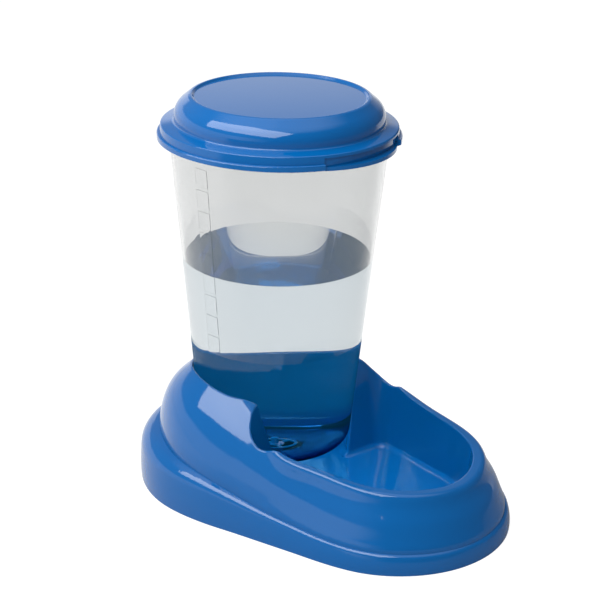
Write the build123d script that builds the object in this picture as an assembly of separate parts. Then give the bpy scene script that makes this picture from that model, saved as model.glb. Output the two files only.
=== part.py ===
# Gravity water dispenser for cats and dogs: a blue base with a drinking bowl, a clear tank that stands in
# a cradle behind the bowl, and a press-on lid. Millimetres, +Z up, the bowl points to -Y, and the origin is
# on the floor under the middle of the base.
import os
from math import asin, atan, cos, pi, radians, sin, sqrt, tan

from build123d import *

# Base footprint: a large arc round the tank, a smaller one round the bowl, and straight flanks
REAR_RADIUS = 99.3
FRONT_RADIUS = 84.1
ARC_SPACING = 109.6
BASE_WALL = 2.4
SKIRT_FLOOR_GAP = 0.3

# Skirt and dome of the base, at stations along the footprint: 0 is the rear centre, 1 and 2 are the ends
# of the flank, 3 is the front centre. IN and REACH are measured inwards
STATIONS = (0.0, 0.6, 1.0, 1.25, 1.5, 2.0, 2.5, 3.0)
EDGE_IN = (1.0, 1.0, 1.6, 1.7, 1.8, 1.8, 1.8, 1.8)
EDGE_HEIGHT = (33.5, 33.5, 29.0, 24.7, 20.5, 15.0, 13.5, 12.6)
GROOVE_IN = (14.0, 13.5, 8.2, 6.1, 4.6, 3.9, 3.8, 3.8)
GROOVE_HEIGHT = (36.5, 36.5, 31.5, 26.4, 21.5, 15.8, 14.3, 13.4)
DOME_REACH = (46.0, 48.0, 48.5, 33.0, 16.5, 18.0, 19.0, 20.0)
DOME_TOP = (88.5, 94.4, 90.3, 76.8, 61.0, 53.3, 50.0, 47.6)
DOME_FULLNESS = (1.1, 0.92, 1.12, 1.2, 1.5, 1.65, 1.6, 1.55)
SKIRT_BULGE = 0.8
EDGE_ROUND = (9.0, 9.0, 4.5, 3.0, 2.0, 1.3, 1.3, 1.2)
DOME_TURNS = (20, 42, 64, 90)
REAR_SECTIONS = 5
FLANK_SECTIONS = 4
FRONT_SECTIONS = 5
SKIN_REACH = 64.0
RIM_ROUND = 1.4

# Tank: a tapered pail with an outlet neck below and a flanged mouth above
TANK_BOTTOM = 28.0
TANK_BOTTOM_RADIUS = 54.4
TANK_TAPER = 0.0971
TANK_WALL = 2.0
TANK_CORNER = 11.0
MOUTH_FLANGE = 2.1
MOUTH_FLANGE_HEIGHT = 2.4

# Level scale raised on the tank's wall: a column of plain cells
SCALE_CELLS = 9
SCALE_PITCH = 15.5
SCALE_CELL_HEIGHT = 13.0
SCALE_WIDTH = 11.0
SCALE_RELIEF = 0.3
SCALE_BELOW_LID = 7.0
SCALE_ANGLE = 177.0

# Cradle and bowl, cut into the base
CRADLE_CLEARANCE = 0.8
BOWL_FLOOR = 9.0
BOWL_REAR_HALF = 80.3
BOWL_FRONT_RADIUS = 59.2
BOWL_ARC_SPACING = 105.9
BOWL_RIM_LEVEL = 55.0
BOWL_DRAFT = 0.09
BOWL_CORNER = 6.0
CHEEK_LEVEL = 80.0
CHEEK_MIDDLE_Y = 15.8
CHEEK_DRAFT = 0.26
CHEEK_SLANT = 0.25
CHEEK_RADIUS = 11.5

# Seats that carry the tank, and the post that opens its valve
SEAT_COUNT = 3
SEAT_RADIUS = 35.0
SEAT_LENGTH = 14.0
SEAT_WIDTH = 3.0
SEAT_GAP = 0.3
POST_RADIUS = 3.2
POST_GAP = 0.3

# Outlet and valve on the tank's axis
NECK_RADIUS = 15.0
NECK_BORE = 12.0
NECK_LENGTH = 11.0
CAP_WALL = 1.8
CAP_FLOOR = 2.0
CAP_HEIGHT = 11.5
CAP_CLEARANCE = 0.05
CAP_RIBS = 24
CAP_RIB_RADIUS = 0.6
OUTLET_HOLE = 6.5
OUTLET_SEAL_THICKNESS = 1.0
POPPET_TRAVEL = 4.0
POPPET_SEAT_GAP = 0.2
POPPET_RADIUS = 9.0
POPPET_DISC = 1.6
POPPET_STEM = 2.0
STEM_CLEARANCE = 0.06
STEM_ABOVE_GUIDE = 0.5
PUSHER_RADIUS = 2.6
PUSHER_BELOW_CAP = 1.2
VALVE_SEAL_THICKNESS = 1.4
GUIDE_HEIGHT = 3.0
GUIDE_RING = 1.6
GUIDE_HUB = 5.0
GUIDE_ARMS = 3
GUIDE_ARM_WIDTH = 2.0
GUIDE_CLEARANCE = 0.05
SPRING_WIRE = 0.6
SPRING_RADIUS = 3.4
SPRING_PITCH = 1.25
SPRING_TURNS = 3
SPRING_GAP = 0.05
SPRING_SAMPLES = 60

# Lid: a cap with a sunken disc, and a plug ring with a gasket inside the tank's mouth
LID_TOP = 288.0
LID_WALL = 2.0
LID_DISC_RADIUS = 59.4
LID_DISC_DEPTH = 1.6
LID_DISC_ROUND = 0.7
LID_SLOPE_RADIUS = 62.8
LID_SLOPE_ROUND = 3.5
LID_DOME_RADIUS = 73.5
LID_SHOULDER_HEIGHT = 279.4
LID_SHOULDER_ROUND = 13.0
LID_DOME_FOOT = 269.6
LID_FOOT_ROUND = 1.6
LID_FLANGE_RADIUS = 82.8
LID_FLANGE_EDGE = 267.9
LID_EDGE_ROUND = 0.9
LID_SKIRT_RADIUS = 83.3
LID_BEAD_RADIUS = 85.3
LID_BEAD_TOP = 262.2
LID_BEAD_BOTTOM = 258.4
LID_BOTTOM = 257.2
LID_BOTTOM_RADIUS = 82.6
LID_SKIRT_INNER = 80.2
LID_UNDERSIDE = 266.0
LID_SEAT_GAP = 0.3
LID_PLUG_LENGTH = 9.0
LID_PLUG_WALL = 2.2
PLUG_GAP = 0.9
GASKET_GROOVE = 1.0
GASKET_HEIGHT = 4.0
GASKET_RAISE = 2.0
GASKET_GAP = 0.08

# Thumb tab: a crescent at the foot of the lid's skirt, below a recess
TAB_HALF_ANGLE = 33.0
TAB_WALL_RADIUS = 81.6
TAB_REACH = 87.0
TAB_ARC_RADIUS = 61.0
TAB_TOP = 259.8
TAB_RECESS_TOP = 266.0

# Rubber feet in bosses under the floors of the bowl and the cradle
FOOT_RADIUS = 7.0
FOOT_HEIGHT = 4.0
FOOT_BOSS_WALL = 2.0
FOOT_BOSS_BOTTOM = 1.2
FOOT_CLEARANCE = 0.05
FOOT_EDGE = 0.6
FOOT_REAR_X = 30.0
FOOT_REAR_BEHIND_AXIS = 30.0
FOOT_FRONT_X = 40.0
FOOT_FRONT_AHEAD_OF_ARC = 18.0

# Worked out from the sizes above
LENGTH = REAR_RADIUS + ARC_SPACING + FRONT_RADIUS
TANK_Y = LENGTH / 2 - REAR_RADIUS
TANK_TOP = LID_UNDERSIDE - LID_SEAT_GAP
BOWL_UNDERSIDE = BOWL_FLOOR - BASE_WALL
BASIN_TOP = max(DOME_TOP) + BASE_WALL
NECK_END = TANK_BOTTOM - NECK_LENGTH
CAP_PLATE_TOP = NECK_END - OUTLET_SEAL_THICKNESS
CAP_BOTTOM = CAP_PLATE_TOP - CAP_FLOOR
CAP_INNER = NECK_RADIUS + CAP_CLEARANCE
VALVE_SEAL_BOTTOM = CAP_PLATE_TOP + POPPET_TRAVEL + POPPET_SEAT_GAP
DISC_BOTTOM = VALVE_SEAL_BOTTOM + VALVE_SEAL_THICKNESS
DISC_TOP = DISC_BOTTOM + POPPET_DISC
PUSHER_BOTTOM = CAP_BOTTOM - PUSHER_BELOW_CAP
GUIDE_BOTTOM = DISC_TOP + SPRING_TURNS * SPRING_PITCH + SPRING_WIRE + 2 * SPRING_GAP
GUIDE_TOP = GUIDE_BOTTOM + GUIDE_HEIGHT
PLUG_BOTTOM = LID_UNDERSIDE - LID_PLUG_LENGTH


def tank_radius(height):
    """Outer radius of the tank's wall at a height."""
    return TANK_BOTTOM_RADIUS + TANK_TAPER * (height - TANK_BOTTOM)


def turned(*corners):
    """Solid turned about the tank's axis from corners given as (radius, height, rounding)."""
    points = [(corner[0], 0, corner[1]) for corner in corners]
    rounding = [corner[2] if len(corner) > 2 else 0 for corner in corners]
    outline = FilletPolyline(*points, radius=rounding, close=True)
    return Pos(0, TANK_Y, 0) * revolve(make_face(outline), axis=Axis.Z)


def ring(outer, inner, low, high):
    """Plain ring about the tank's axis."""
    return Pos(0, TANK_Y, low) * extrude(Circle(outer) - Circle(inner), high - low)


def rod(radius, low, high):
    """Plain round bar on the tank's axis."""
    return Pos(0, TANK_Y, low) * extrude(Circle(radius), high - low)


def along(values, station):
    """Value at a station, on a smooth curve that never overshoots the listed values."""
    station = min(abs(station), 2 * STATIONS[-1] - abs(station))
    steps = [b - a for a, b in zip(STATIONS, STATIONS[1:])]
    rises = [(b - a) / step for a, b, step in zip(values, values[1:], steps)]
    slopes = [0.0]
    for before, after in zip(rises, rises[1:]):
        slopes.append(2 * before * after / (before + after) if before * after > 0 else 0.0)
    slopes.append(0.0)
    i = max(k for k in range(len(steps)) if station >= STATIONS[k])
    t = (station - STATIONS[i]) / steps[i]
    ease = t * t * (3 - 2 * t)
    bend_in = t * (1 - t) ** 2 * slopes[i]
    bend_out = t * t * (t - 1) * slopes[i + 1]
    return values[i] + (values[i + 1] - values[i]) * ease + (bend_in + bend_out) * steps[i]


def station_frame(station):
    """Footprint point and outward direction at a station, right-hand side first."""
    flank_angle = asin((REAR_RADIUS - FRONT_RADIUS) / ARC_SPACING)
    if station <= 1:
        angle = pi / 2 - (pi / 2 + flank_angle) * station
        radius = REAR_RADIUS
        centre_y = TANK_Y
    elif station <= 2:
        angle = -flank_angle
        radius = REAR_RADIUS + (FRONT_RADIUS - REAR_RADIUS) * (station - 1)
        centre_y = TANK_Y - ARC_SPACING * (station - 1)
    else:
        angle = -flank_angle - (pi / 2 - flank_angle) * (station - 2)
        radius = FRONT_RADIUS
        centre_y = TANK_Y - ARC_SPACING
    outward = Vector(cos(angle), sin(angle))
    return Vector(0, centre_y) + outward * radius, outward


def section(station, inset, bottom):
    """Closed section across the base's skin at a station, drawn inside the outer face by inset."""
    foot, outward = station_frame(station)

    def at(inward, height):
        return foot - outward * inward + Vector(0, 0, height)

    edge_in = along(EDGE_IN, station) + inset
    edge_height = along(EDGE_HEIGHT, station) - inset
    groove_in = along(GROOVE_IN, station) + inset
    groove_height = along(GROOVE_HEIGHT, station) - inset
    reach = along(DOME_REACH, station) - inset
    rise = along(DOME_TOP, station) - inset - groove_height
    skirt_foot = at(inset, bottom)
    skirt_middle = at(inset + along(EDGE_IN, station) / 2 - SKIRT_BULGE, edge_height / 2)
    edge = at(edge_in, edge_height)
    groove = at(groove_in, groove_height)
    rounding = along(EDGE_ROUND, station)
    skirt_end = edge - (edge - skirt_middle).normalized() * rounding
    ledge_start = edge + (groove - edge).normalized() * rounding
    fullness = along(DOME_FULLNESS, station)
    dome = [groove]
    for turn in DOME_TURNS:
        share_in = 1 - cos(radians(turn)) ** fullness
        share_up = sin(radians(turn)) ** fullness
        dome.append(at(groove_in + reach * share_in, groove_height + rise * share_up))
    inner_top = at(SKIN_REACH + inset, dome[-1].Z)
    inner_foot = at(SKIN_REACH + inset, bottom)
    skirt = Edge.make_spline([skirt_foot, skirt_middle, skirt_end])
    return Wire([
        skirt,
        Edge.make_tangent_arc(skirt_end, skirt % 1, ledge_start),
        Edge.make_line(ledge_start, groove),
        Edge.make_spline(dome, tangents=[Vector(0, 0, 1), -outward]),
        Edge.make_line(dome[-1], inner_top),
        Edge.make_line(inner_top, inner_foot),
        Edge.make_line(inner_foot, skirt_foot),
    ])


def skin(inset, bottom):
    """Ring-shaped solid under the base's outer face, inset from it."""
    stations = [i / REAR_SECTIONS for i in range(-1, REAR_SECTIONS)]
    stations += [1 + i / FLANK_SECTIONS for i in range(FLANK_SECTIONS)]
    stations += [2 + i / FRONT_SECTIONS for i in range(FRONT_SECTIONS + 2)]
    lofted = Solid.make_loft([section(station, inset, bottom) for station in stations])
    right = lofted & Pos(LENGTH / 2, 0, 0) * Box(LENGTH, 2 * LENGTH, 2 * LID_TOP)
    return right + mirror(right, about=Plane.YZ)


def bowl_outline(level, growth):
    """Outline of the bowl's trough at a level: front arc, flanks, rounded corners and slanted cheeks."""
    draft = growth - BOWL_DRAFT * (BOWL_RIM_LEVEL - level)
    rear = BOWL_REAR_HALF + draft
    front = BOWL_FRONT_RADIUS + draft
    sine = (rear - front) / BOWL_ARC_SPACING
    cosine = sqrt(1 - sine * sine)
    front_y = TANK_Y - BOWL_ARC_SPACING
    cheek_shift = CHEEK_DRAFT * (CHEEK_LEVEL - level) - growth * sqrt(1 + CHEEK_SLANT ** 2)
    middle_y = TANK_Y - CHEEK_MIDDLE_Y - cheek_shift
    corner_x = (rear + sine * (middle_y - TANK_Y)) / (cosine + sine * CHEEK_SLANT)
    corner = Vector(corner_x, middle_y - CHEEK_SLANT * corner_x, level)
    flank_end = Vector(front * cosine, front_y - front * sine, level)
    middle = Vector(0, middle_y, level)
    cheek = FilletPolyline(middle, corner, flank_end, radius=CHEEK_RADIUS + growth)
    arc = ThreePointArc(flank_end, Vector(0, front_y - front, level), Vector(-flank_end.X, flank_end.Y, level))
    return Wire([*cheek.edges(), arc.edge(), *mirror(cheek, about=Plane.YZ).edges()])


def cradle(growth):
    """Tapered round space that the tank stands in, grown sideways and downwards by growth."""
    low = BOWL_FLOOR - growth
    low_radius = tank_radius(low) + CRADLE_CLEARANCE + growth
    high_radius = tank_radius(BASIN_TOP) + CRADLE_CLEARANCE + growth
    return turned((0, low), (low_radius, low), (high_radius, BASIN_TOP), (0, BASIN_TOP))


def trough(growth):
    """Space of the drinking bowl, open to the cradle, grown sideways and downwards by growth."""
    low = BOWL_FLOOR - growth
    return Solid.make_loft([bowl_outline(low, growth), bowl_outline(BASIN_TOP, growth)], ruled=True)


def basin(growth):
    """Cradle and bowl together, rounded where their walls meet the floor."""
    space = cradle(growth) + trough(growth)
    return fillet(space.edges().group_by(Axis.Z)[0], BOWL_CORNER + growth)


def shared_edges(shape, first, second):
    """Edges of a shape that lie on the surfaces of two solids at once."""
    faces = (first.shells()[0], second.shells()[0])
    found = []
    for edge in shape.edges():
        points = [edge @ 0.1, edge @ 0.5, edge @ 0.9]
        if all(face.distance_to(point) < 0.01 for face in faces for point in points):
            found.append(edge)
    return found


def foot_places():
    """Name and centre of each foot."""
    rear_y = TANK_Y + FOOT_REAR_BEHIND_AXIS
    front_y = TANK_Y - BOWL_ARC_SPACING - FOOT_FRONT_AHEAD_OF_ARC
    return {
        "foot_front_left": (-FOOT_FRONT_X, front_y),
        "foot_front_right": (FOOT_FRONT_X, front_y),
        "foot_rear_left": (-FOOT_REAR_X, rear_y),
        "foot_rear_right": (FOOT_REAR_X, rear_y),
    }


def base_shell():
    """Blue moulding: skirt, dome, collar and cradle for the tank, bowl, seats, valve post and foot bosses."""
    outer = skin(0, SKIRT_FLOOR_GAP)
    inside = basin(0)
    lining = basin(BASE_WALL)
    floor_slab = Pos(0, 0, (BOWL_UNDERSIDE + BOWL_FLOOR) / 2) * Box(LENGTH, LENGTH, BASE_WALL)
    cavity = skin(BASE_WALL, -BASE_WALL) - lining
    shell = outer - cavity - inside + ((lining & floor_slab) - inside)
    rim = shared_edges(shell, inside, outer)
    corners = shared_edges(shell, cradle(0), trough(0))
    shell = fillet(rim + corners, RIM_ROUND)
    seat_top = TANK_BOTTOM - SEAT_GAP
    seat_height = seat_top - BOWL_UNDERSIDE
    seat = Pos(0, SEAT_RADIUS, BOWL_UNDERSIDE + seat_height / 2) * Box(SEAT_WIDTH, SEAT_LENGTH, seat_height)
    for i in range(SEAT_COUNT):
        shell += Pos(0, TANK_Y, 0) * Rot(0, 0, 360 / SEAT_COUNT * i) * seat
    shell += rod(POST_RADIUS, BOWL_UNDERSIDE, PUSHER_BOTTOM - POST_GAP)
    for x, y in foot_places().values():
        boss = extrude(Circle(FOOT_RADIUS + FOOT_BOSS_WALL), BOWL_UNDERSIDE + BASE_WALL / 2 - FOOT_BOSS_BOTTOM)
        shell += Pos(x, y, FOOT_BOSS_BOTTOM) * boss
        shell -= Pos(x, y, 0) * extrude(Circle(FOOT_RADIUS + FOOT_CLEARANCE), FOOT_HEIGHT)
    return shell


def foot(x, y):
    """Rubber foot pressed into its boss."""
    body = Cylinder(FOOT_RADIUS, FOOT_HEIGHT, align=(Align.CENTER, Align.CENTER, Align.MIN))
    body = chamfer(body.edges().sort_by(Axis.Z)[0], FOOT_EDGE)
    return Pos(x, y, 0) * body


def tank():
    """Clear tapered tank with its outlet neck, mouth flange and level scale."""
    flange_bottom = TANK_TOP - MOUTH_FLANGE_HEIGHT
    flange_radius = tank_radius(TANK_TOP) + MOUTH_FLANGE
    inner_floor = TANK_BOTTOM + TANK_WALL
    body = turned(
        (NECK_BORE, NECK_END),
        (NECK_RADIUS, NECK_END),
        (NECK_RADIUS, TANK_BOTTOM),
        (tank_radius(TANK_BOTTOM), TANK_BOTTOM, TANK_CORNER),
        (tank_radius(flange_bottom), flange_bottom),
        (flange_radius, flange_bottom),
        (flange_radius, TANK_TOP),
        (tank_radius(TANK_TOP) - TANK_WALL, TANK_TOP),
        (tank_radius(inner_floor) - TANK_WALL, inner_floor, TANK_CORNER - TANK_WALL),
        (NECK_BORE, inner_floor),
    )
    reach = 2 * tank_radius(TANK_TOP)
    column = Part()
    for i in range(SCALE_CELLS):
        middle = LID_BOTTOM - SCALE_BELOW_LID - SCALE_CELL_HEIGHT / 2 - i * SCALE_PITCH
        column += Pos(reach / 2, 0, middle) * Box(reach, SCALE_WIDTH, SCALE_CELL_HEIGHT)
    relief = turned(
        (tank_radius(TANK_BOTTOM) - TANK_WALL / 2, TANK_BOTTOM),
        (tank_radius(TANK_BOTTOM) + SCALE_RELIEF, TANK_BOTTOM),
        (tank_radius(TANK_TOP) + SCALE_RELIEF, TANK_TOP),
        (tank_radius(TANK_TOP) - TANK_WALL / 2, TANK_TOP),
    )
    return body + (relief & Pos(0, TANK_Y, 0) * Rot(0, 0, SCALE_ANGLE) * column)


def outlet_cap():
    """Ribbed cap on the tank's neck, with the outlet hole in its floor."""
    outer = CAP_INNER + CAP_WALL
    cap = ring(outer, OUTLET_HOLE, CAP_BOTTOM, CAP_BOTTOM + CAP_HEIGHT)
    cap -= rod(CAP_INNER, CAP_PLATE_TOP, CAP_BOTTOM + CAP_HEIGHT)
    for i in range(CAP_RIBS):
        rib = Pos(outer, 0, CAP_BOTTOM) * extrude(Circle(CAP_RIB_RADIUS), CAP_HEIGHT)
        cap += Pos(0, TANK_Y, 0) * Rot(0, 0, 360 / CAP_RIBS * i) * rib
    return cap


def outlet_seal():
    """Flat rubber ring between the neck's end and the cap's floor."""
    return ring(NECK_RADIUS, NECK_BORE, CAP_PLATE_TOP, NECK_END)


def valve_poppet():
    """Plunger: pusher below, disc that carries the seal, and the stem that the guide holds."""
    stem_top = GUIDE_TOP + POPPET_TRAVEL + STEM_ABOVE_GUIDE
    poppet = rod(PUSHER_RADIUS, PUSHER_BOTTOM, DISC_BOTTOM)
    poppet += rod(POPPET_RADIUS, DISC_BOTTOM, DISC_TOP)
    return poppet + rod(POPPET_STEM, DISC_TOP, stem_top)


def valve_seal():
    """Rubber ring under the poppet's disc."""
    return ring(POPPET_RADIUS, PUSHER_RADIUS, VALVE_SEAL_BOTTOM, DISC_BOTTOM)


def valve_guide():
    """Spider in the neck: a ring, arms and a hub that guides the poppet's stem."""
    outer = NECK_BORE - GUIDE_CLEARANCE
    guide = ring(outer, outer - GUIDE_RING, GUIDE_BOTTOM, GUIDE_TOP)
    guide += rod(GUIDE_HUB, GUIDE_BOTTOM, GUIDE_TOP)
    arm_length = outer - GUIDE_RING / 2
    arm = Pos(arm_length / 2, 0, (GUIDE_BOTTOM + GUIDE_TOP) / 2) * Box(arm_length, GUIDE_ARM_WIDTH, GUIDE_HEIGHT)
    for i in range(GUIDE_ARMS):
        guide += Pos(0, TANK_Y, 0) * Rot(0, 0, 360 / GUIDE_ARMS * i) * arm
    return guide - rod(POPPET_STEM + STEM_CLEARANCE, GUIDE_BOTTOM, GUIDE_TOP)


def biarc(start, start_way, end, end_way):
    """Two arcs from start to end that leave and arrive along the given directions."""
    chord = end - start
    ways = start_way + end_way
    curve = 2 * (1 - start_way.dot(end_way))
    lean = chord.dot(ways)
    reach = (sqrt(lean ** 2 + curve * chord.dot(chord)) - lean) / curve
    first = start + start_way * reach
    second = end - end_way * reach
    middle = (first + second) * 0.5
    return [Edge.make_tangent_arc(start, start_way, middle), Edge.make_tangent_arc(middle, second - first, end)]


def valve_spring():
    """Compression spring between the poppet's disc and the guide."""
    low = DISC_TOP + SPRING_GAP + SPRING_WIRE / 2
    rise = SPRING_PITCH / (2 * pi)

    def wire_point(turn):
        angle = 2 * pi * turn
        place = Vector(SPRING_RADIUS * cos(angle), SPRING_RADIUS * sin(angle), low + SPRING_PITCH * turn)
        way = Vector(-SPRING_RADIUS * sin(angle), SPRING_RADIUS * cos(angle), rise).normalized()
        return place, way

    path = []
    for i in range(4 * SPRING_TURNS):
        path += biarc(*wire_point(i / 4), *wire_point((i + 1) / 4))
    start, way = wire_point(0)
    section_plane = Plane(origin=start, z_dir=way)
    middle_line = Wire(path)
    spring = sweep(section_plane * Circle(SPRING_WIRE / 2), path=middle_line)
    count = SPRING_SAMPLES * SPRING_TURNS
    points = [middle_line.position_at(i / count) for i in range(count + 1)]
    pairs = [(a, b) for a in range(count + 1) for b in range(a + SPRING_SAMPLES // 2, count + 1)]
    gap = min((points[b] - points[a]).length for a, b in pairs) - SPRING_WIRE
    print("spring: least gap to itself", round(gap, 3), "mm")
    return Pos(0, TANK_Y, 0) * spring


def lid():
    """Blue press-on lid: sunken disc, sloping shoulder, flange, skirt with a bead, thumb tab and plug ring."""
    cap = turned(
        (0, LID_TOP - LID_DISC_DEPTH),
        (LID_DISC_RADIUS, LID_TOP - LID_DISC_DEPTH, LID_DISC_ROUND),
        (LID_DISC_RADIUS + LID_DISC_DEPTH, LID_TOP, LID_DISC_ROUND),
        (LID_SLOPE_RADIUS, LID_TOP, LID_SLOPE_ROUND),
        (LID_DOME_RADIUS, LID_SHOULDER_HEIGHT, LID_SHOULDER_ROUND),
        (LID_DOME_RADIUS, LID_DOME_FOOT, LID_FOOT_ROUND),
        (LID_FLANGE_RADIUS, LID_FLANGE_EDGE, LID_EDGE_ROUND),
        (LID_SKIRT_RADIUS, LID_BEAD_TOP),
        (LID_BEAD_RADIUS, LID_BEAD_TOP, LID_EDGE_ROUND),
        (LID_BEAD_RADIUS, LID_BEAD_BOTTOM),
        (LID_BOTTOM_RADIUS, LID_BOTTOM),
        (0, LID_BOTTOM),
    )
    dome_inner = LID_DOME_RADIUS - LID_WALL
    ceiling = LID_TOP - LID_DISC_DEPTH - LID_WALL
    lean = (LID_DOME_RADIUS - LID_SLOPE_RADIUS) / (LID_TOP - LID_SHOULDER_HEIGHT)
    shoulder_inner = LID_SHOULDER_HEIGHT - LID_WALL * tan(atan(lean) / 2)
    slope_inner = dome_inner - (ceiling - shoulder_inner) * lean
    cap -= turned(
        (0, LID_BOTTOM),
        (LID_SKIRT_INNER, LID_BOTTOM),
        (LID_SKIRT_INNER, LID_UNDERSIDE),
        (dome_inner, LID_UNDERSIDE),
        (dome_inner, shoulder_inner, LID_SHOULDER_ROUND - LID_WALL),
        (slope_inner, ceiling),
        (0, ceiling),
    )
    plug_outer = tank_radius(PLUG_BOTTOM) - TANK_WALL - PLUG_GAP
    cap += ring(plug_outer, plug_outer - LID_PLUG_WALL, PLUG_BOTTOM, LID_UNDERSIDE)
    groove_bottom = PLUG_BOTTOM + GASKET_RAISE
    cap -= ring(plug_outer, plug_outer - GASKET_GROOVE, groove_bottom, groove_bottom + GASKET_HEIGHT)
    recess = ring(TAB_REACH, TAB_WALL_RADIUS, LID_BOTTOM, TAB_RECESS_TOP)
    wedge_side = 2 * TAB_REACH
    wedge_end = wedge_side * sin(radians(TAB_HALF_ANGLE))
    wedge = Polyline((0, 0), (-wedge_end, -wedge_side), (wedge_end, -wedge_side), close=True)
    wedge = Pos(0, TANK_Y, LID_BOTTOM) * extrude(make_face(wedge), TAB_RECESS_TOP - LID_BOTTOM)
    cap -= recess & wedge
    tab = Pos(0, TANK_Y - TAB_REACH + TAB_ARC_RADIUS, LID_BOTTOM) * extrude(Circle(TAB_ARC_RADIUS), TAB_TOP - LID_BOTTOM)
    return cap + (tab & ring(TAB_REACH, LID_SKIRT_INNER, LID_BOTTOM, TAB_TOP))


def lid_gasket():
    """Soft ring in the plug's groove, which seals the tank's mouth."""
    bottom = PLUG_BOTTOM + GASKET_RAISE
    outer = tank_radius(bottom) - TANK_WALL - GASKET_GAP
    inner = tank_radius(PLUG_BOTTOM) - TANK_WALL - PLUG_GAP - GASKET_GROOVE
    return ring(outer, inner, bottom, bottom + GASKET_HEIGHT)


pieces = {
    "base_shell": base_shell(),
    "tank": tank(),
    "outlet_cap": outlet_cap(),
    "outlet_seal": outlet_seal(),
    "valve_poppet": valve_poppet(),
    "valve_seal": valve_seal(),
    "valve_guide": valve_guide(),
    "valve_spring": valve_spring(),
    "lid": lid(),
    "lid_gasket": lid_gasket(),
}
for name, place in foot_places().items():
    pieces[name] = foot(*place)

os.makedirs("parts", exist_ok=True)
for name, piece in pieces.items():
    export_step(piece, f"parts/{name}.step")
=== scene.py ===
import math

import bmesh
import bpy
from mathutils import Matrix, Vector


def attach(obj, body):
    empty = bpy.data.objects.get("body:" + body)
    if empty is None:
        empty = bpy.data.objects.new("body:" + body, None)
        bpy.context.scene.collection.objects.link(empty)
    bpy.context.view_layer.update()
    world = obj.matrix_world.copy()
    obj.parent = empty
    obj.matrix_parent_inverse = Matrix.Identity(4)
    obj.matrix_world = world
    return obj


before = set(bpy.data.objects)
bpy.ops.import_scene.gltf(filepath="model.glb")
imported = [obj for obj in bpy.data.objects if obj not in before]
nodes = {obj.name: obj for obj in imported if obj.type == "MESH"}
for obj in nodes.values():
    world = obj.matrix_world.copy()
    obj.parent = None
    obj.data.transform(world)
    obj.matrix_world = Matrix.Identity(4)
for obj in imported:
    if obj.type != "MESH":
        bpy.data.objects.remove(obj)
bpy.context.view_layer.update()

# Base shell: one thick-walled injection moulding in polypropylene, pigmented royal blue all through, with a
# cradle for the tank behind and the drinking bowl in front. The polished mould leaves it glossy, with a faint
# waviness where the wall shrank as it cooled.
BLUE = "#025595"
POLISHED_ROUGHNESS = 0.07
SHRINK_WAVE_LENGTH = 26
SHRINK_WAVE_DEPTH = 0.008
SHRINK_WAVE_DETAIL = 1.0
MILLIMETRE = 0.001


def linear(colour):
    """Linear colour of an sRGB hex value."""
    parts = [int(colour[i:i + 2], 16) / 255 for i in (1, 3, 5)]
    return [c / 12.92 if c <= 0.04045 else ((c + 0.055) / 1.055) ** 2.4 for c in parts] + [1.0]


def add_node(owner, kind, settings=None, sockets=None, links=None):
    """Adds a node with its settings, socket values and incoming links."""
    node = owner.node_tree.nodes.new(kind)
    for name, value in (settings or {}).items():
        setattr(node, name, value)
    for name, value in (sockets or {}).items():
        node.inputs[name].default_value = value
    for name, source in (links or {}).items():
        owner.node_tree.links.new(source, node.inputs[name])
    return node


def new_material(name):
    """Empty node material."""
    material = bpy.data.materials.new(name)
    material.use_nodes = True
    material.node_tree.nodes.clear()
    return material


def dress(piece, material):
    """Gives a piece one material."""
    piece.data.materials.clear()
    piece.data.materials.append(material)


def moulded(name, colour, roughness):
    """Plastic or rubber in one colour all through, with the faint wave of a moulded wall."""
    material = new_material(name)
    place = add_node(material, "ShaderNodeTexCoord").outputs["Object"]
    wave = add_node(material, "ShaderNodeTexNoise",
                    sockets={"Scale": 1 / (SHRINK_WAVE_LENGTH * MILLIMETRE), "Detail": SHRINK_WAVE_DETAIL},
                    links={"Vector": place})
    relief = add_node(material, "ShaderNodeBump",
                      sockets={"Distance": SHRINK_WAVE_DEPTH * MILLIMETRE, "Strength": 1.0},
                      links={"Height": wave.outputs["Fac"]})
    surface = add_node(material, "ShaderNodeBsdfPrincipled",
                       sockets={"Base Color": linear(colour), "Roughness": roughness},
                       links={"Normal": relief.outputs["Normal"]})
    add_node(material, "ShaderNodeOutputMaterial", links={"Surface": surface.outputs["BSDF"]})
    return material


# Polypropylene from a polished mould: deep colour under sharp, soft-edged highlights.
blue_polypropylene = moulded("moulded blue polypropylene", BLUE, POLISHED_ROUGHNESS)
dress(nodes["base_shell"], blue_polypropylene)

# Feet: four soft black rubber discs, pressed into round bosses under the base so that it doesn't slide on a
# smooth floor. The moulded rubber is matt.
FOOT_BLACK = "#202224"
RUBBER_ROUGHNESS = 0.7
foot_rubber = moulded("black rubber", FOOT_BLACK, RUBBER_ROUGHNESS)
for name in ("foot_front_left", "foot_front_right", "foot_rear_left", "foot_rear_right"):
    dress(nodes[name], foot_rubber)

# Outlet and valve: a cap on the tank's neck, a guide and a plunger, all in the base's blue polypropylene. Their
# rings and the lid's gasket are moulded in grey silicone rubber, which has a dull sheen. The spring is wound
# from drawn stainless wire.
SEAL_GREY = "#8d969c"
SILICONE_ROUGHNESS = 0.5
STEEL = "#b9bcbf"
WIRE_ROUGHNESS = 0.3
for name in ("outlet_cap", "valve_guide", "valve_poppet"):
    dress(nodes[name], blue_polypropylene)
seal_rubber = moulded("grey silicone rubber", SEAL_GREY, SILICONE_ROUGHNESS)
for name in ("outlet_seal", "valve_seal", "lid_gasket"):
    dress(nodes[name], seal_rubber)
stainless = new_material("stainless spring wire")
wire = add_node(stainless, "ShaderNodeBsdfPrincipled",
                sockets={"Base Color": linear(STEEL), "Metallic": 1.0, "Roughness": WIRE_ROUGHNESS})
add_node(stainless, "ShaderNodeOutputMaterial", links={"Surface": wire.outputs["BSDF"]})
dress(nodes["valve_spring"], stainless)

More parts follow.
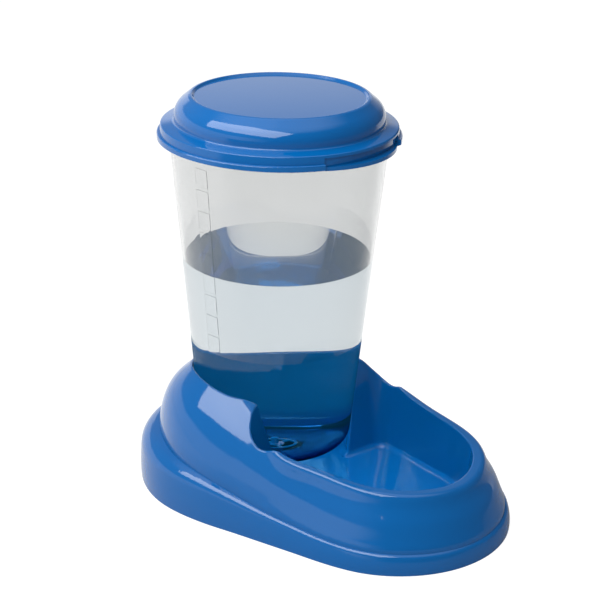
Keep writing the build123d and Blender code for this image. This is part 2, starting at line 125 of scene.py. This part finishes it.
# Tank: one clear injection moulding in styrene acrylonitrile, polished inside and out, so that light passes
# almost straight through its 2 mm wall. It tapers towards its flat floor and stands in the base's cradle. A
# level scale of raised cells runs down its side. Sizes are in millimetres.
TANK_CLEAR = "#e5e6e6"
TANK_IOR = 1.55
TANK_ROUGHNESS = 0.015
TANK_AXIS_Y = 47.2
TANK_FLOOR = 30.0
TANK_TAPER = 0.0971
WALL_MIDDLE_AT_FLOOR = 53.6
SHADOW_TINT = "#feffff"
WATER_LEVEL = 172.1
LEVEL_MARGIN = 0.05
FLOOR_MARGIN = 1.0
WET_TINT = "#f7f8f8"
# Below this height the outside of the wall mirrors nothing: painted shade of the cradle.
PAINTED_SHADE_BELOW = 112.0
# Blue colour painted low down into the light the wall and water pass: painted light of the blue cradle.
PAINTED_CRADLE_BLUE = "#9bcfe8"
PAINTED_CRADLE_BLUE_TOP = 44.0
PAINTED_CRADLE_BLUE_BOTTOM = 31.0


def clear(name, colour, ior, roughness):
    """Clear refracting material that lets lamp light through to what stands behind it. Two kinds of face
    bend light but mirror none: where plastic and water touch, and the outside of the wall in the cradle
    and a little above it, whose missing mirror image is painted shade of the cradle. Low down, these faces also
    turn the light they pass blue, painted light of the blue cradle."""
    material = new_material(name)
    place = add_node(material, "ShaderNodeTexCoord").outputs["Object"]
    centred = add_node(material, "ShaderNodeVectorMath", {"operation": "SUBTRACT"},
                       {1: (0, TANK_AXIS_Y * MILLIMETRE, 0)}, {0: place}).outputs["Vector"]
    height = add_node(material, "ShaderNodeSeparateXYZ", links={0: centred}).outputs["Z"]
    level = add_node(material, "ShaderNodeVectorMath", {"operation": "MULTIPLY"}, {1: (1, 1, 0)}, {0: centred})
    radius = add_node(material, "ShaderNodeVectorMath", {"operation": "LENGTH"},
                      links={0: level.outputs["Vector"]})
    wall_middle = add_node(material, "ShaderNodeMath", {"operation": "MULTIPLY_ADD"},
                           {1: TANK_TAPER, 2: (WALL_MIDDLE_AT_FLOOR - TANK_TAPER * TANK_FLOOR) * MILLIMETRE},
                           {0: height})
    inner = add_node(material, "ShaderNodeMath", {"operation": "LESS_THAN"},
                     links={0: radius.outputs["Value"], 1: wall_middle.outputs[0]})
    under_water = add_node(material, "ShaderNodeMath", {"operation": "LESS_THAN"},
                           {1: (WATER_LEVEL - LEVEL_MARGIN) * MILLIMETRE}, {0: height})
    wet = add_node(material, "ShaderNodeMath", {"operation": "MULTIPLY"},
                   links={0: inner.outputs[0], 1: under_water.outputs[0]})
    outside = add_node(material, "ShaderNodeMath", {"operation": "SUBTRACT"}, {0: 1},
                       {1: add_node(material, "ShaderNodeNewGeometry").outputs["Backfacing"]})
    low = add_node(material, "ShaderNodeMath", {"operation": "LESS_THAN"},
                   {1: PAINTED_SHADE_BELOW * MILLIMETRE}, {0: height})
    # Painted shade: the outside of the wall low in the cradle loses its mirror image.
    painted_cradle_shade = add_node(material, "ShaderNodeMath", {"operation": "MULTIPLY"},
                         links={0: low.outputs[0], 1: outside.outputs[0]})
    wet_or_painted_shade = add_node(material, "ShaderNodeMath", {"operation": "MAXIMUM"},
                      links={0: wet.outputs[0], 1: painted_cradle_shade.outputs[0]})
    above_floor = add_node(material, "ShaderNodeMath", {"operation": "GREATER_THAN"},
                           {1: (TANK_FLOOR - FLOOR_MARGIN) * MILLIMETRE}, {0: height})
    unmirrored_wet_or_painted_shade = add_node(material, "ShaderNodeMath", {"operation": "MULTIPLY"},
                          links={0: wet_or_painted_shade.outputs[0], 1: above_floor.outputs[0]})
    # Painted cradle light: the refracted light turns blue towards the tank's floor.
    painted_blue_weight = add_node(material, "ShaderNodeMapRange", {"interpolation_type": "SMOOTHSTEP"},
                    {"From Min": PAINTED_CRADLE_BLUE_TOP * MILLIMETRE, "From Max": PAINTED_CRADLE_BLUE_BOTTOM * MILLIMETRE},
                    {"Value": height})
    grey_or_painted_blue = add_node(material, "ShaderNodeMix", {"data_type": "RGBA"},
                    {6: linear(WET_TINT), 7: linear(PAINTED_CRADLE_BLUE)}, {0: painted_blue_weight.outputs[0]})
    bending = add_node(material, "ShaderNodeBsdfRefraction", sockets={"Roughness": roughness, "IOR": ior},
                       links={"Color": grey_or_painted_blue.outputs[2]})
    surface = add_node(material, "ShaderNodeBsdfPrincipled",
                       sockets={"Base Color": linear(colour), "Roughness": roughness, "IOR": ior,
                                "Transmission Weight": 1.0})
    body = add_node(material, "ShaderNodeMixShader",
                    links={0: unmirrored_wet_or_painted_shade.outputs[0], 1: surface.outputs["BSDF"], 2: bending.outputs["BSDF"]})
    shadow = add_node(material, "ShaderNodeBsdfTransparent", sockets={"Color": linear(SHADOW_TINT)})
    ray = add_node(material, "ShaderNodeLightPath")
    mixed = add_node(material, "ShaderNodeMixShader",
                     links={0: ray.outputs["Is Shadow Ray"], 1: body.outputs["Shader"],
                            2: shadow.outputs["BSDF"]})
    add_node(material, "ShaderNodeOutputMaterial", links={"Surface": mixed.outputs["Shader"]})
    return material


# Styrene acrylonitrile: clear as glass, with a trace of grey. Low down, a blue colour is painted into the light
# it passes, painted light of the blue cradle, not a colour of the plastic.
clear_styrene = clear("clear moulded styrene", TANK_CLEAR, TANK_IOR, TANK_ROUGHNESS)
dress(nodes["tank"], clear_styrene)

# Water in the tank: it fills the pail from its floor to about the middle and wets the wall all round. Drinking
# water is colourless; its depth is given a faint blue glow, painted light that stands for daylight scattered in
# it.
WATER_TINT = "#ffffff"
WATER_IOR = 1.333
# Painted glow: the water emits a faint blue light of its own, standing in for daylight scattered in it.
WATER_PAINTED_GLOW = "#20a2e6"
WATER_PAINTED_GLOW_PER_METRE = 0.8
INNER_RADIUS_AT_FLOOR = 52.6
FLOOR_CORNER = 9.0
CORNER_STEPS = 12
WALL_STEPS = 8
WETTING = 0.12
BOTTOM_RING = 20.0
SURFACE_RING = 40.0
SPIN_STEPS = 160
SAME_HEIGHT = 0.001


def finished(mesh, name):
    """Object made from a bmesh whose points are in millimetres about the tank's axis."""
    bmesh.ops.remove_doubles(mesh, verts=mesh.verts, dist=0.0001)
    bmesh.ops.recalc_face_normals(mesh, faces=mesh.faces)
    bmesh.ops.translate(mesh, verts=mesh.verts, vec=(0, TANK_AXIS_Y, 0))
    bmesh.ops.scale(mesh, verts=mesh.verts, vec=(MILLIMETRE,) * 3)
    data = bpy.data.meshes.new(name)
    mesh.to_mesh(data)
    mesh.free()
    piece = bpy.data.objects.new(name, data)
    bpy.context.scene.collection.objects.link(piece)
    return piece


def wet_radius(height):
    """Radius of the water at a height, just past the inner face of the wall."""
    return INNER_RADIUS_AT_FLOOR + TANK_TAPER * (height - TANK_FLOOR) + WETTING


corner_top = TANK_FLOOR + FLOOR_CORNER
corner_radius = wet_radius(corner_top) - FLOOR_CORNER
profile = [(0, TANK_FLOOR - WETTING), (BOTTOM_RING, TANK_FLOOR - WETTING)]
for step in range(CORNER_STEPS + 1):
    turn = math.pi / 2 * step / CORNER_STEPS
    profile.append((corner_radius + FLOOR_CORNER * math.sin(turn),
                    TANK_FLOOR - WETTING + FLOOR_CORNER * (1 - math.cos(turn))))
for step in range(1, WALL_STEPS + 1):
    height = corner_top + (WATER_LEVEL - corner_top) * step / WALL_STEPS
    profile.append((wet_radius(height), height))
profile += [(SURFACE_RING, WATER_LEVEL), (0, WATER_LEVEL)]
filling = bmesh.new()
points = [filling.verts.new((radius, 0, height)) for radius, height in profile]
edges = [filling.edges.new(pair) for pair in zip(points, points[1:])]
bmesh.ops.spin(filling, geom=points + edges, cent=(0, 0, 0), axis=(0, 0, 1), angle=2 * math.pi,
               steps=SPIN_STEPS, use_merge=True)
for face in filling.faces:
    face.smooth = True
for edge in filling.edges:
    edge.smooth = not all(abs(point.co.z - WATER_LEVEL) < SAME_HEIGHT for point in edge.verts)
tank_water = finished(filling, "tank_water")
water = clear("drinking water", WATER_TINT, WATER_IOR, 0.0)
# Painted light: the water's volume glows blue.
painted_glow = add_node(water, "ShaderNodeEmission",
                sockets={"Color": linear(WATER_PAINTED_GLOW), "Strength": WATER_PAINTED_GLOW_PER_METRE})
water_output = water.node_tree.get_output_node("ALL")
water.node_tree.links.new(painted_glow.outputs["Emission"], water_output.inputs["Volume"])
dress(tank_water, water)
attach(tank_water, "tank_unit")

# Water in the bowl: a shallow pool that runs from the front of the bowl back under the tank, up to the level
# at which the tank's outlet lets no more air in. It is one body of water, joined from two outlines, and each
# section gives a height and how far the water stands out from those outlines there.
POOL_SECTIONS = ((8.5, -4.0), (11.0, -0.9), (15.5, 0.9))
POOL_FRONT_RADIUS = 55.6
POOL_FRONT_Y = -105.9
POOL_CORNER_RADIUS = 11.5
POOL_CORNER_X = 63.2
POOL_CORNER_Y = -57.5
POOL_MIDDLE_RADIUS = 6.0
POOL_MIDDLE_Y = -39.5
POOL_CRADLE_RADIUS = 54.0
POOL_SEGMENTS = 96


def pooled(circles, name):
    """Convex body of water round circles, which are given by centre and radius, through the pool's sections."""
    mesh = bmesh.new()
    for height, growth in POOL_SECTIONS:
        for x, y, radius in circles:
            bmesh.ops.create_circle(mesh, segments=POOL_SEGMENTS, radius=radius + growth,
                                    matrix=Matrix.Translation((x, y, height)))
    wrap = bmesh.ops.convex_hull(mesh, input=mesh.verts)
    loose = [item for item in wrap["geom_interior"] if isinstance(item, bmesh.types.BMVert)]
    bmesh.ops.delete(mesh, geom=loose, context="VERTS")
    return finished(mesh, name)


bowl_circles = [(0, POOL_FRONT_Y, POOL_FRONT_RADIUS), (0, POOL_MIDDLE_Y, POOL_MIDDLE_RADIUS)]
bowl_circles += [(side * POOL_CORNER_X, POOL_CORNER_Y, POOL_CORNER_RADIUS) for side in (-1, 1)]
bowl_water = pooled(bowl_circles, "bowl_water")
under_tank = pooled([(0, 0, POOL_CRADLE_RADIUS)], "water_under_tank")
union = bowl_water.modifiers.new("pool", "BOOLEAN")
union.operation = "UNION"
union.solver = "EXACT"
union.object = under_tank
bpy.context.view_layer.update()
joined = bpy.data.meshes.new_from_object(bowl_water.evaluated_get(bpy.context.evaluated_depsgraph_get()))
bowl_water.modifiers.clear()
bowl_water.data = joined
bpy.data.objects.remove(under_tank)
dress(bowl_water, water)
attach(bowl_water, "base")

# Lid: the same glossy blue polypropylene moulding as the base, with a sunken disc on top, a rounded shoulder,
# a flange and a thumb tab at the front. It is pressed onto the mouth of the tank.
dress(nodes["lid"], blue_polypropylene)

# Floor of the studio: white paper. The lamp lights it dimly, so that it keeps the object's shadow, and its own
# glow makes it white. It mirrors darker towards the front, where the studio is unlit.
FLOOR_HALF_SIZE = 6
FLOOR_WHITE = (0.8, 0.8, 0.8, 1)
FLOOR_DIM = (0.2, 0.2, 0.2, 1)
FLOOR_GLOW = 0.9
FLOOR_BRIGHT_AZIMUTH = 75.0
FLOOR_RAMP = (-0.15, 0.25)
MIRRORED_FRONT = 0.1
REFRACTED_FRONT = 0.6
sweep = bmesh.new()
bmesh.ops.create_grid(sweep, x_segments=1, y_segments=1, size=FLOOR_HALF_SIZE)
floor_data = bpy.data.meshes.new("studio_floor")
sweep.to_mesh(floor_data)
sweep.free()
floor = bpy.data.objects.new("studio_floor", floor_data)
bpy.context.scene.collection.objects.link(floor)


def along_azimuth(owner, place, azimuth_degrees, ramp, dark, bright):
    """Value that rises smoothly from dark to bright over a ramp along a level azimuth."""
    azimuth = math.radians(azimuth_degrees)
    distance = add_node(owner, "ShaderNodeVectorMath", {"operation": "DOT_PRODUCT"},
                        {1: (math.cos(azimuth), math.sin(azimuth), 0)}, {0: place})
    return add_node(owner, "ShaderNodeMapRange", {"interpolation_type": "SMOOTHSTEP"},
                    {"From Min": ramp[0], "From Max": ramp[1], "To Min": dark, "To Max": bright},
                    {"Value": distance.outputs["Value"]})


paper = new_material("white paper sweep")
ray = add_node(paper, "ShaderNodeLightPath")
mirrored = add_node(paper, "ShaderNodeMath", {"operation": "MAXIMUM"},
                    links={0: ray.outputs["Is Glossy Ray"], 1: ray.outputs["Is Transmission Ray"]})
looked_at = add_node(paper, "ShaderNodeMath", {"operation": "MAXIMUM"},
                     links={0: ray.outputs["Is Camera Ray"], 1: mirrored.outputs[0]})
front_glow = add_node(paper, "ShaderNodeMath", {"operation": "MULTIPLY_ADD"},
                      {1: MIRRORED_FRONT - REFRACTED_FRONT, 2: REFRACTED_FRONT},
                      {0: ray.outputs["Is Reflection Ray"]})
falloff = along_azimuth(paper, add_node(paper, "ShaderNodeTexCoord").outputs["Object"],
                        FLOOR_BRIGHT_AZIMUTH, FLOOR_RAMP, MIRRORED_FRONT, FLOOR_GLOW)
paper.node_tree.links.new(front_glow.outputs[0], falloff.inputs["To Min"])
strength = add_node(paper, "ShaderNodeMix", {"data_type": "FLOAT"}, {"A": FLOOR_GLOW},
                    {"Factor": ray.outputs["Is Glossy Ray"], "B": falloff.outputs[0]})
lit = add_node(paper, "ShaderNodeBsdfDiffuse", sockets={"Color": FLOOR_WHITE})
dim = add_node(paper, "ShaderNodeBsdfDiffuse", sockets={"Color": FLOOR_DIM})
glow = add_node(paper, "ShaderNodeEmission", links={"Strength": strength.outputs["Result"]})
seen = add_node(paper, "ShaderNodeAddShader", links={0: dim.outputs["BSDF"], 1: glow.outputs["Emission"]})
mixed = add_node(paper, "ShaderNodeMixShader",
                 links={0: looked_at.outputs[0], 1: lit.outputs["BSDF"], 2: seen.outputs["Shader"]})
add_node(paper, "ShaderNodeOutputMaterial", links={"Surface": mixed.outputs["Shader"]})
dress(floor, paper)

# Surround of the studio: dark in front, brighter on the left, brightest low on the left and overhead. The
# camera and the clear pieces see it as a white backdrop. Ramps are in the parts of a direction of length one.
SURROUND_BASE = 0.14
SURROUND_OVERHEAD = 1.24
OVERHEAD_RAMP = (0.7, 0.95)
SURROUND_LEFT = 0.2
SURROUND_LEFT_LOW = 1.0
LOW_RAMP = (0.3, 0.22)
LEFT_AZIMUTH = 110.0
LEFT_RAMP = (-0.3, 0.45)
BACKDROP = 1.0
world = bpy.data.worlds.new("studio_surround")
bpy.context.scene.world = world
world.use_nodes = True
background = world.node_tree.nodes["Background"]
background.inputs["Color"].default_value = (1, 1, 1, 1)
way = add_node(world, "ShaderNodeTexCoord").outputs["Generated"]
rise = add_node(world, "ShaderNodeSeparateXYZ", links={0: way}).outputs["Z"]
overhead = add_node(world, "ShaderNodeMapRange", {"interpolation_type": "SMOOTHSTEP"},
                    {"From Min": OVERHEAD_RAMP[0], "From Max": OVERHEAD_RAMP[1],
                     "To Min": SURROUND_BASE, "To Max": SURROUND_OVERHEAD}, {"Value": rise})
low_part = add_node(world, "ShaderNodeMapRange", {"interpolation_type": "SMOOTHSTEP"},
                    {"From Min": LOW_RAMP[0], "From Max": LOW_RAMP[1],
                     "To Min": SURROUND_LEFT, "To Max": SURROUND_LEFT_LOW}, {"Value": rise})
flat_way = add_node(world, "ShaderNodeVectorMath", {"operation": "MULTIPLY"}, {1: (1, 1, 0)}, {0: way})
level_way = add_node(world, "ShaderNodeVectorMath", {"operation": "NORMALIZE"},
                     links={0: flat_way.outputs["Vector"]})
left_side = along_azimuth(world, level_way.outputs["Vector"], LEFT_AZIMUTH, LEFT_RAMP, 0, 1)
left_light = add_node(world, "ShaderNodeMath", {"operation": "MULTIPLY"},
                      links={0: left_side.outputs[0], 1: low_part.outputs[0]})
light = add_node(world, "ShaderNodeMath", {"operation": "ADD"},
                 links={0: overhead.outputs[0], 1: left_light.outputs[0]})
world_ray = add_node(world, "ShaderNodeLightPath")
seen_white = add_node(world, "ShaderNodeMath", {"operation": "MAXIMUM"},
                      links={0: world_ray.outputs["Is Camera Ray"],
                             1: world_ray.outputs["Is Transmission Ray"]})
shown = add_node(world, "ShaderNodeMix", {"data_type": "FLOAT"}, {"B": BACKDROP},
                 {"Factor": seen_white.outputs[0], "A": light.outputs[0]})
world.node_tree.links.new(shown.outputs["Result"], background.inputs["Strength"])

# Key lamp: one large softbox, high on the left and a metre from the middle of the object.
KEY_AZIMUTH = math.radians(172)
KEY_ELEVATION = math.radians(54)
KEY_DISTANCE = 1.0
KEY_WIDTH = 1.45
KEY_DEPTH = 0.62
KEY_POWER = 15
KEY_TARGET = (0, 0, 0.15)
key_lamp = bpy.data.lights.new("key", "AREA")
key_lamp.shape = "RECTANGLE"
key_lamp.size = KEY_WIDTH
key_lamp.size_y = KEY_DEPTH
key_lamp.energy = KEY_POWER
key = bpy.data.objects.new("key", key_lamp)
bpy.context.scene.collection.objects.link(key)
away = Vector((math.cos(KEY_AZIMUTH) * math.cos(KEY_ELEVATION), math.sin(KEY_AZIMUTH) * math.cos(KEY_ELEVATION),
               math.sin(KEY_ELEVATION)))
key.location = Vector(KEY_TARGET) + away * KEY_DISTANCE
key.rotation_euler = away.to_track_quat("Z", "Y").to_euler()

# Camera: 0.6 m above the floor and a metre and a quarter from the object, at the photograph's viewing angle,
# with the long lens and the slight roll of the photograph. Enough bounces carry light through both clear walls.
CAMERA_PLACE = (-0.87369, -0.70122, 0.59350)
CAMERA_TARGET = (0.01068, 0.03456, 0.13580)
CAMERA_ROLL = math.radians(1.2131)
CAMERA_LENS = 103.023
SENSOR_WIDTH = 36
camera_data = bpy.data.cameras.new("photo_camera")
camera_data.lens = CAMERA_LENS
camera_data.sensor_width = SENSOR_WIDTH
camera = bpy.data.objects.new("photo_camera", camera_data)
bpy.context.scene.collection.objects.link(camera)
ahead = (Vector(CAMERA_TARGET) - Vector(CAMERA_PLACE)).normalized()
aim = ahead.to_track_quat("-Z", "Y").to_matrix() @ Matrix.Rotation(CAMERA_ROLL, 3, "Z")
camera.rotation_euler = aim.to_euler()
camera.location = CAMERA_PLACE
bpy.context.scene.camera = camera
bpy.context.scene.view_settings.view_transform = "Standard"
bpy.context.scene.cycles.max_bounces = 24
bpy.context.scene.cycles.transmission_bounces = 16
bpy.context.scene.cycles.transparent_max_bounces = 16
